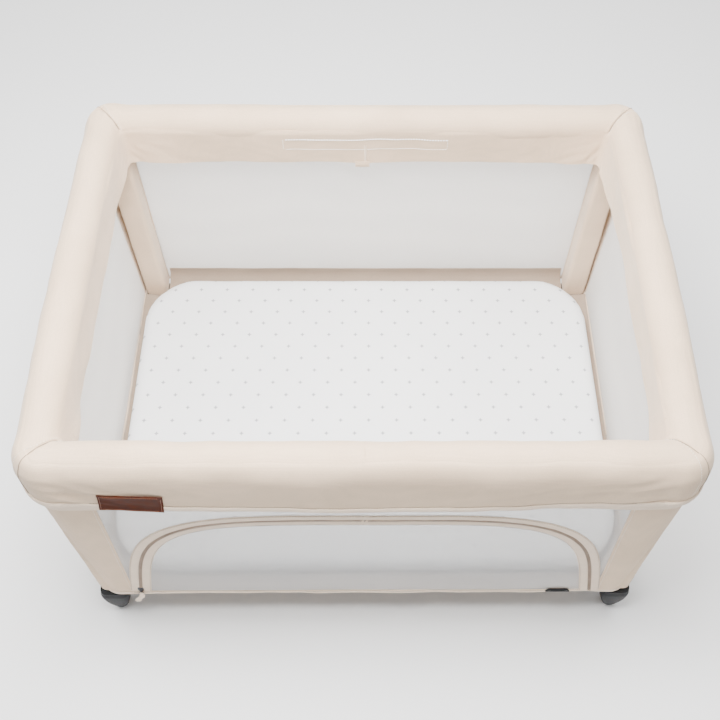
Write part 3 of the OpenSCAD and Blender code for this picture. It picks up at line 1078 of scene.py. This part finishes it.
def coil_row(name, edge, shift, body):
    """Half of the zip: its small coil turns along the arch."""
    verts, faces = [], []
    for turn in arch_stops(0.0026)[0][:-1]:
        s, z, (ds, dh) = arch_at(turn, edge, 0.008)
        along, out = Vector((-dh, 0, ds)), Vector((ds, 0, dh))
        at = by_zip(s, z, 0.0008) + along * shift
        base = len(verts)
        for a, b, c in COIL_TURN:
            verts.append(at + along * a * 0.0009 + out * b * 0.0018 + FORWARD * c * 0.0014)
        for quad in ((3, 2, 1, 0), (4, 5, 6, 7), (0, 1, 5, 4), (1, 2, 6, 5), (2, 3, 7, 6), (3, 0, 4, 7)):
            faces.append(tuple(base + q for q in quad))
    on_front(new_piece(name, verts, faces, coil), body)


def tape_stitching(name, edge, body):
    turns, total = arch_stops(0.0046)

    def path(t):
        share = t / total * (len(turns) - 1)
        i = min(int(share), len(turns) - 2)
        s, z, _ = arch_at(turns[i] + (turns[i + 1] - turns[i]) * (share - i), edge, 0.008)
        return by_zip(s, z, 0.0012), FORWARD
    on_front(stitch_row(name, path, total, seam_thread), body)


front_net()
door_net()
tape("zip_tape_wall", 0.0012, 0.0195, None)
tape("zip_tape_door", -0.0195, -0.0012, "door")
coil_row("zip_coil_wall", 0.0016, 0.0, None)
coil_row("zip_coil_door", -0.0016, 0.0013, "door")
tape_stitching("zip_stitching_wall", 0.0180, None)
tape_stitching("zip_stitching_door", -0.0178, "door")

# ---------------------------------------------------------------- leg sleeves inside the corners


POST_POWER = 2 / 6.5
POST_SLACK = 0.022  # the share by which the fabric lies inside the CAD sleeve's outline


def posts():
    """Fabric sleeves round the legs: rounded squares, drawn in a little at their lower ends."""
    for corner in SIGNS:
        low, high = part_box(f"leg_sleeve_{corner}")
        core, half = (low + high) / 2, (high.x - low.x) / 2
        levels = [(low.z + 0.002, 0.55), (low.z + 0.001, 0.86), (low.z + 0.004, 0.965)]
        levels += [(z, 1.0) for z in steps(low.z + 0.010, high.z, 60)]
        rows = []
        for z, size in levels:
            ring = []
            for a in turns_of(56):
                x, y = (t * half for t in squircle(a, POST_POWER))
                p = Vector((core.x + x, core.y + y, z))
                crease = ripple((p.x * 1.3, p.y * 1.3, p.z * 0.5), 0.05, 0.0012, 41.0)
                crease += ripple(p, 0.02, 0.0003, 43.0)
                shrink = size * (1 - POST_SLACK + crease / half)
                ring.append(Vector((core.x + x * shrink, core.y + y * shrink, z)))
            rows.append(ring)

        def outward(c):
            if low.z + 0.004 < c.z < high.z - 0.001:
                return Vector((c.x - core.x, c.y - core.y, 0))
            return Vector((0, 0, -1 if c.z < core.z else 1))
        post = new_piece(f"leg_sleeve_fabric_{corner}", *closed_tube(rows), cover)
        face_out(post, outward)
        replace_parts(on_leg(post, corner), f"leg_sleeve_{corner}")


posts()

# ---------------------------------------------------------------- feet


BOOT_SHOULDER_Z, BOOT_NECK = 0.092, 0.09
FORK_FROM = 0.031  # from the leg's axis to where the fork leaves the boot


def boots():
    """Rounded moulded feet under the wall's corners, each with the fork for its floor arm."""
    for corner, (sx, sy) in SIGNS.items():
        low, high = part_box(f"foot_{corner}")
        leg = Vector((sx * LEG_X, sy * LEG_Y, 0))
        widest = max(abs(low.x), abs(high.x)) - LEG_X - 0.0010
        levels = [(0.0, 0.45), (0.0002, 0.78), (0.0014, 0.92), (0.0035, 0.98)]
        levels += [(t * high.z, 1.0) for t in steps(0.07, 1.0, 44)]
        levels += [(high.z + 0.0006, 0.93), (high.z + 0.0008, 0.5)]
        rows = []
        for z, share in levels:
            rise = min(z / BOOT_SHOULDER_Z, 1.0)
            full = FOOT_SOLE_R + (widest - FOOT_SOLE_R) * math.sin(rise * math.pi / 2) ** 1.05
            core = leg + Vector((sx * 0.006, sy * 0.002, 0)) * (1 - smooth(rise))
            power = 2 / (2.1 + 2.2 * smooth(rise))
            size = full * share * (1 - BOOT_NECK * smooth((z - 0.090) / (high.z - 0.090)))
            shape = [squircle(a, power) for a in turns_of(48)]
            rows.append([Vector((core.x + x * size, core.y + y * size, z)) for x, y in shape])
        boot = new_piece(f"foot_boot_{corner}", *closed_tube(rows), black_plastic)
        face_out(boot, lambda c: Vector((c.x - leg.x, c.y - leg.y, 0.4 * (c.z - 0.05))))
        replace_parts(on_leg(boot, corner), f"foot_{corner}")

        inward = Vector((-sx, -sy, 0)).normalized()
        source = frame["nodes"][f"foot_{corner}"]
        mesh = bmesh.new()
        mesh.from_mesh(source.data)
        mesh.transform(source.matrix_world)
        bmesh.ops.bisect_plane(mesh, geom=mesh.verts[:] + mesh.edges[:] + mesh.faces[:],
                               plane_co=leg + inward * FORK_FROM, plane_no=inward, clear_inner=True)
        bmesh.ops.holes_fill(mesh, edges=[edge for edge in mesh.edges if edge.is_boundary])
        bmesh.ops.recalc_face_normals(mesh, faces=mesh.faces)
        fork = new_piece(f"foot_fork_{corner}", [(0, 0, 0)], [], black_plastic)
        mesh.to_mesh(fork.data)
        mesh.free()
        soften(fork.data)
        on_leg(fork, corner)


boots()

# ---------------------------------------------------------------- tag, clip and zip slider


def tag():
    low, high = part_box("leather_tag")
    wide, tall = high.x - low.x, high.z - low.z

    def face(u, v):
        """A point of the tag's back, u and v from 0 to 1."""
        s = low.x + 0.0005 + u * (wide - 0.001) - 0.0055 * (1 - v)
        hem = hem_z("front", s)
        z = hem - 0.001 + v * tall
        o = max(skirt_profile("front", s, skirt_share("front", s, max(z, hem + 0.004)))[0],
                hem_offset("front", s) + 0.0004)
        p = bent("front", s, o, z)
        lift = 0.0022 * smooth(1 - v / 0.4)
        return bent("front", s, o + soft_wave(p) + 0.0006 + lift, z)

    rows = [[face(u, v) for u in steps(0, 1, 50)] for v in steps(0, 1, 26)]
    piece = new_piece("leather_tag_face", *grid_mesh(rows), tag_leather)
    face_out(piece, lambda c: FORWARD)
    thicken(piece, 0.0015, 1, bevel=0.0004)
    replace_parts(ride(piece, "leg_front_left"), "leather_tag")
    for name, fixed, along, length in (("left", 0.032, "v", tall), ("right", 0.968, "v", tall),
                                       ("top", 0.93, "u", wide), ("bottom", 0.07, "u", wide)):
        def path(t):
            share = 0.05 + 0.9 * t / length
            at = face(share, fixed) if along == "u" else face(fixed, share)
            return at + FORWARD * 0.0016, FORWARD
        row = stitch_row(f"tag_stitching_{name}", path, length, tag_thread, pitch=0.0036, long=0.0026,
                         wide=0.0007)
        ride(row, "leg_front_left")


def rounded_block(name, outline, back, front, material, bevel):
    """A block between back and front depth (y) whose outline is (x, z) points, with rounded edges."""
    count = len(outline)
    verts = [(x, back, z) for x, z in outline] + [(x, front, z) for x, z in outline]
    faces = [tuple(reversed(range(count))), tuple(range(count, 2 * count))]
    faces += [(i, (i + 1) % count, count + (i + 1) % count, count + i) for i in range(count)]
    piece = new_piece(name, verts, faces, material)

    def soft_edges(mesh):
        bmesh.ops.recalc_face_normals(mesh, faces=mesh.faces)
        bmesh.ops.bevel(mesh, geom=mesh.edges[:], offset=bevel, segments=3, profile=0.6, affect="EDGES",
                        clamp_overlap=True)
    reshape(piece, soft_edges)
    piece.data.shade_smooth()
    return piece


def clip():
    low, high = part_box("door_clip")
    foot, top = WALL_Z + BAND_H - 0.001, WALL_Z + BAND_H + 0.0095
    y = -(LEG_Y + wall_out(foot))
    slant = 0.006
    outline = [(low.x, foot), (high.x, foot), (high.x - slant, top), (low.x + slant, top)]
    piece = rounded_block("door_clip_body", outline, y - 0.0004, y - 0.0042, black_plastic, 0.0009)
    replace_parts(ride(piece, "leg_front_right"), "door_clip")
    outline = [(low.x + 0.009, foot + 0.003), (high.x - 0.009, foot + 0.003),
               (high.x - 0.011, top - 0.003), (low.x + 0.011, top - 0.003)]
    ridge = rounded_block("door_clip_ridge", outline, y - 0.0040, y - 0.0052, black_plastic, 0.0005)
    ride(ridge, "leg_front_right")


PULLER_LONG, PULLER_HALF = 0.050, 0.0046
RING_R, RING_WIRE_R = 0.0042, 0.0007


def slider():
    low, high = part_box("zip_slider")
    core = (low + high) / 2
    front = low.y
    outline = ((-0.0030, -0.0085), (0.0030, -0.0085), (0.0055, -0.001), (0.0055, 0.006), (0.003, 0.0088),
               (-0.003, 0.0088), (-0.0055, 0.006), (-0.0055, -0.001))
    body = rounded_block("zip_slider_body", [(core.x + x, core.z + z) for x, z in outline], high.y,
                         front - 0.0004, slider_metal, 0.0008)
    outline = ((-0.0016, -0.005), (0.0016, -0.005), (0.0016, 0.005), (-0.0016, 0.005))
    bridge = rounded_block("zip_slider_bridge", [(core.x + x, core.z + z) for x, z in outline],
                           front - 0.0002, front - 0.0032, slider_metal, 0.0007)
    rows = []
    for t in steps(0, 1, 30):
        z = core.z - 0.003 - PULLER_LONG * t
        x = core.x + 0.0012 - 0.017 * t ** 1.4 + 0.0012 * math.sin(7 * t)
        y = front - 0.0040 - 0.0030 * math.sin(math.pi * min(1, 1.4 * t))
        half = PULLER_HALF + 0.0018 * smooth((t - 0.12) / 0.2) - 0.002 * smooth((t - 0.93) / 0.07)
        rows.append([Vector((x + squircle(a, 0.5)[0] * half, y + math.sin(a) * 0.0011, z))
                     for a in turns_of(12)])
    puller = new_piece("zip_puller", *closed_tube(rows), trim)
    ring_at = Vector((core.x + 0.001, front - 0.0042, core.z - 0.004))
    bpy.ops.mesh.primitive_torus_add(major_radius=RING_R, minor_radius=RING_WIRE_R, major_segments=28,
                                     minor_segments=8, location=ring_at, rotation=(math.pi / 2, 0, 0))
    ring = bpy.context.object
    ring.name = "zip_puller_ring"
    ring.data.materials.append(slider_metal)
    ring.data.shade_smooth()
    for piece in (body, bridge, puller, ring):
        ride(piece, "slider")
    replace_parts(body, "zip_slider")


tag()
clip()
slider()

# ---------------------------------------------------------------- back rail: stitched panel, seam and tab


def flap_point(side, s, v, lift):
    o, z = flap_profile(side, s, v)
    p = bent(side, s, o, z)
    inward = -outward_of(side)
    return bent(side, s, o + soft_wave(p), z) + inward * (lift + 0.0002), inward


PANEL_HALF, PANEL_HIGH = 0.158, 0.030


def back_panel():
    """Two stitched rows with cross ends inside the back flap, and the short seam and tab below them."""
    half, high = PANEL_HALF, PANEL_HIGH
    for name, v, wide, thick in (("upper", 0.30, 0.0036, 0.0013), ("lower", 0.59, 0.0014, 0.0007)):
        def path(t):
            s = -half + t
            return flap_point("back", s, v + 0.012 * math.sin(s * 31) + 0.006 * math.sin(s * 83), 0.0006)
        row = stitch_row(f"back_panel_stitching_{name}", path, 2 * half, bright_thread, pitch=0.0052,
                         long=0.0040, wide=wide, high=thick)
        fold_with(row, "back", COLUMN)
    for name, s in (("left", half), ("right", -half)):
        row = stitch_row(f"back_panel_stitching_{name}",
                         lambda t: flap_point("back", s, 0.28 + 0.32 * t / high, 0.0006),
                         high, bright_thread, wide=0.0013)
        fold_with(row, "back", COLUMN)
    across = ((-0.0022, -0.0008), (-0.0013, 0.0007), (0, 0.0011), (0.0013, 0.0007), (0.0022, -0.0008))
    rows = [[flap_point("back", s, v, 0.0004 + lift)[0] for s, lift in across] for v in steps(0.48, 1.0, 24)]
    fold_with(sheet_piece("back_flap_seam", rows, trim, lambda c: FORWARD, 0.0006)[0], "back", COLUMN)

    edge_o, edge_z = flap_profile("back", 0, 1.0)

    def on_tab(x, t):
        wave = soft_wave(place("back", x, edge_o, edge_z))
        return place("back", 0.006 + x, edge_o - 0.002 + wave - 0.0012 * math.sin(math.pi * t),
                     edge_z + 0.006 - 0.015 * t)
    rows = [[on_tab(x, t) for x in steps(-0.014, 0.014, 10)] for t in steps(0, 1, 12)]
    fold_with(sheet_piece("back_flap_tab", rows, cover, lambda c: FORWARD, 0.0014)[0], "back", COLUMN)


back_panel()

# ---------------------------------------------------------------- floor fabric


FLOOR_STEP = 0.0075
FLOOR_PAST = 0.0035  # how far the floor reaches past the CAD's
ARM_END = 0.008  # from an end of an arm's box to its pivot
CREASE_REACH, CREASE_HIGH, CREASE_WIDE = 0.17, 0.0075, 0.022
UPTURN = 0.006


def floor_height(x, y, sx, sy, reach):
    """Height over FLOOR_Z: gathered and raised towards the legs, slack between them."""
    near = smooth(1 - Vector((LEG_X - x, LEG_Y - y)).length / CREASE_REACH)
    wrinkle = near * abs(ripple((sx * x, sy * y, 0), CREASE_WIDE, CREASE_HIGH, 51.0)) if near > 0.25 else 0
    rise = UPTURN * (smooth((x - reach.x + 0.02) / 0.02) + smooth((y - reach.y + 0.02) / 0.02))
    under = 0.0006 + 0.5 * abs(ripple((sx * x, sy * y, 0), 0.06, 0.002, 53.0))
    return wrinkle + rise * near - under * (1 - near) - 0.0004


def floor_quarters():
    """The floor, in a quarter for each arm and a corner piece for each leg."""
    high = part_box("floor_fabric")[1]
    reach = Vector((high.x + FLOOR_PAST, high.y + FLOOR_PAST))
    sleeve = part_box("leg_sleeve_br")[0]
    nx, ny = round(reach.x / FLOOR_STEP), round(reach.y / FLOOR_STEP)
    for corner, (sx, sy) in SIGNS.items():
        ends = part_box(f"floor_arm_{corner}")
        foot_at = Vector([max(abs(ends[0][i]), abs(ends[1][i])) - ARM_END for i in (0, 1)])
        hub_at = Vector([min(abs(ends[0][i]), abs(ends[1][i])) + ARM_END for i in (0, 1)])
        along = (hub_at - foot_at).normalized()
        parts = {True: ([], [], {}), False: ([], [], {})}
        for i in range(nx):
            for j in range(ny):
                mid = Vector((reach.x * (i + 0.5) / nx, reach.y * (j + 0.5) / ny))
                if mid.x > sleeve.x - 0.001 and mid.y > sleeve.y - 0.001:
                    continue
                verts, faces, index = parts[(mid - foot_at).dot(along) > 0]
                cells = [(i, j), (i + 1, j), (i + 1, j + 1), (i, j + 1)]
                for cell in cells:
                    if cell not in index:
                        x, y = reach.x * cell[0] / nx, reach.y * cell[1] / ny
                        index[cell] = len(verts)
                        verts.append(Vector((sx * x, sy * y, FLOOR_Z + floor_height(x, y, sx, sy, reach))))
                faces.append(tuple(index[cell] for cell in cells))
        for inner, (verts, faces, _) in parts.items():
            kind = "quarter" if inner else "corner"
            piece = new_piece(f"floor_fabric_{kind}_{corner}", verts, faces, shade_darkened_lining)
            face_out(piece, lambda c: Vector((0, 0, 1)))
            thicken(piece, 0.0016, -1)
            ride(piece, f"arm_{corner}" if inner else LEG_OF[corner])
            if inner:
                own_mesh(piece)
                if corner == "fl":
                    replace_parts(piece, "floor_fabric")


floor_quarters()

# ---------------------------------------------------------------- mattress with its fitted sheet


PRINT_PITCH, PRINT_ROW = 0.0590, 0.0310


def sheet_material():
    """White knit with a small grey sprig print in staggered rows."""
    f = Finish("sheet_fabric")
    split = f.nodes.new("ShaderNodeSeparateXYZ")
    f.links.new(f.coords, split.inputs[0])
    x, y = split.outputs["X"], split.outputs["Y"]
    y_cell = f.math("DIVIDE", f.math("ADD", y, 2.0), PRINT_ROW)
    stagger = f.math("MULTIPLY", f.math("MODULO", f.math("FLOOR", y_cell), 2.0), 0.5)
    x_cell = f.math("ADD", f.math("DIVIDE", f.math("ADD", x, 2.0), PRINT_PITCH), stagger)
    across, up = (f.math("ABSOLUTE", f.math("MULTIPLY", f.math("SUBTRACT", f.math("FRACT", cell), 0.5), size))
                  for cell, size in ((x_cell, PRINT_PITCH), (y_cell, PRINT_ROW)))
    sprig = f.math("MINIMUM", f.math("ADD", across, f.math("MULTIPLY", up, 1.9)),
                   f.math("ADD", f.math("MULTIPLY", across, 1.9), up))
    spread = f.math("ADD", sprig, f.math("MULTIPLY", f.noise(7, 1.0), 0.0008))
    mark = f.ramp(f.math("MULTIPLY", spread, 100.0), ((0.44, 1.0), (0.64, 0.0)))
    white = f.ramp(f.noise(5), ((0.3, (0.85, 0.855, 0.865)), (0.7, (0.89, 0.895, 0.90))))
    f.shade({"Base Color": f.mix("MIX", mark, white, (0.38, 0.385, 0.40)),
             "Roughness": f.ramp(f.noise(500, 2.0), ((0.2, 0.8), (0.8, 0.93))),
             "Sheen Weight": 0.2, "Specular IOR Level": 0.2})
    folds = f.bump(f.noise(16, 4.0), 0.10, 0.004)
    f.bump(f.math("ADD", f.ridges("X", 0.0011), f.ridges("Y", 0.0013)), 0.25, 0.0002, folds)
    return f.material


def rounded_rect(half_x, half_y, radius, per_corner):
    points = []
    for cx, cy, start in ((1, 1, 0), (-1, 1, 90), (-1, -1, 180), (1, -1, 270)):
        for i in range(per_corner + 1):
            a = math.radians(start + 90 * i / per_corner)
            points.append((cx * (half_x - radius) + radius * math.cos(a),
                           cy * (half_y - radius) + radius * math.sin(a)))
    return points


PAD_R, PAD_INSET = 0.118, 0.0005
PAD_VOXEL = 0.0075
CLOTH_FRAMES, CLOTH_CAP = 14, 0.005
GATHER, GATHER_TURNS, GATHER_IN = 0.0012, 42, 0.012
CREASE_A, CREASE_B = 0.0011, 0.0009
CROWN, CROWN_IN = 0.001, 0.05
EDGE_DROP, EDGE_IN = 0.0088, 0.020
TOP_FROM = 0.6  # the share of its height above which a point lies on the mattress's top


def pad_shell(low, high):
    """The mattress as an even mesh with straight sides and round corners."""
    ring = rounded_rect(high.x - PAD_INSET, high.y - PAD_INSET, PAD_R, 14)
    count = len(ring)
    verts = [(x, y, z) for z in (low.z + 0.0012, high.z - 0.003) for x, y in ring]
    faces = [tuple(reversed(range(count))), tuple(range(count, 2 * count))]
    faces += [(i, (i + 1) % count, count + (i + 1) % count, count + i) for i in range(count)]
    pad = new_piece("mattress_pad", verts, faces, sheet_material())
    remesh = pad.modifiers.new("remesh", "REMESH")
    remesh.mode, remesh.voxel_size = "VOXEL", PAD_VOXEL
    apply_modifiers(pad)
    return pad


def swell(pad):
    """Let the filled cover swell as cloth under pressure."""
    cloth = pad.modifiers.new("cloth", "CLOTH").settings
    cloth.quality = 5
    cloth.mass = 0.3
    cloth.use_pressure = True
    cloth.uniform_pressure_force = 4
    cloth.effector_weights.gravity = 0
    cloth.tension_stiffness = 18
    cloth.compression_stiffness = 12
    cloth.bending_stiffness = 0.6
    for number in range(1, CLOTH_FRAMES + 1):
        bpy.context.scene.frame_set(number)
    apply_modifiers(pad)
    bpy.context.scene.frame_set(1)


def sheeted(p, up, high):
    """The point p of the swollen pad at height share up, with the sheet's gathers, crown and wrinkles."""
    corner_x, corner_y = high.x - PAD_R, high.y - PAD_R
    round_part = smooth((abs(p.x) - corner_x + 0.05) / 0.08) * smooth((abs(p.y) - corner_y + 0.05) / 0.08)
    edge = min(high.x - abs(p.x), high.y - abs(p.y))
    if round_part > 0.01:
        edge = PAD_R - math.hypot(max(abs(p.x) - corner_x, 0), max(abs(p.y) - corner_y, 0))
    around = math.atan2(abs(p.y) - corner_y, abs(p.x) - corner_x)
    gathers = GATHER * math.sin(around * GATHER_TURNS + 3 * math.sin(5 * around)) * round_part * (1.2 - up)
    p = p + Vector((p.x, p.y, 0)).normalized() * gathers * smooth(1 - edge / GATHER_IN)
    if up > TOP_FROM:
        diagonal = noise.noise(Vector(((p.x + p.y) / 0.045, (p.x - p.y) / 0.30, 61.0)))
        other = noise.noise(Vector(((p.x - p.y) / 0.055, (p.x + p.y) / 0.26, 67.0)))
        local = 0.4 + 0.9 * smooth(0.5 + noise.noise(Vector((p.x / 0.25, p.y / 0.25, 71.0))))
        p.z += (CREASE_A * max(diagonal, 0) + CREASE_B * max(other, 0)) * local
        p.z += CROWN * smooth(edge / CROWN_IN) - EDGE_DROP * (1 - smooth(edge / EDGE_IN)) ** 2
    return p


def mattress():
    low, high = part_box("mattress")
    bottom = low.z + 0.0012
    pad = pad_shell(low, high)
    rest = [v.co.copy() for v in pad.data.vertices]
    swell(pad)
    for vertex, start in zip(pad.data.vertices, rest):
        move = vertex.co - start
        if move.length > CLOTH_CAP:
            move *= CLOTH_CAP / move.length
        p = sheeted(start + move, (start.z - low.z) / (high.z - low.z), high)
        p.z = min(max(p.z, bottom), high.z + 0.003)
        vertex.co = p
    smoother = pad.modifiers.new("smooth", "SMOOTH")
    smoother.factor, smoother.iterations = 0.5, 2
    detail = pad.modifiers.new("detail", "SUBSURF")
    detail.levels = detail.render_levels = 1
    apply_modifiers(pad)
    pad.data.shade_smooth()
    for vertex in pad.data.vertices:
        vertex.co.z = max(vertex.co.z, bottom - 0.0004)
    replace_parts(ride(pad, "mattress"), "mattress")


mattress()

# ---------------------------------------------------------------- ground


def ground():
    bpy.ops.mesh.primitive_plane_add(size=14, location=(0, 1.5, 0))
    floor = bpy.context.object
    floor.name = "ground"
    f = Finish("ground")
    f.shade({"Base Color": f.ramp(f.noise(1.5, 2.0), ((0.2, 0.965), (0.8, 0.98))), "Roughness": 0.8})
    floor.data.materials.append(f.material)


ground()
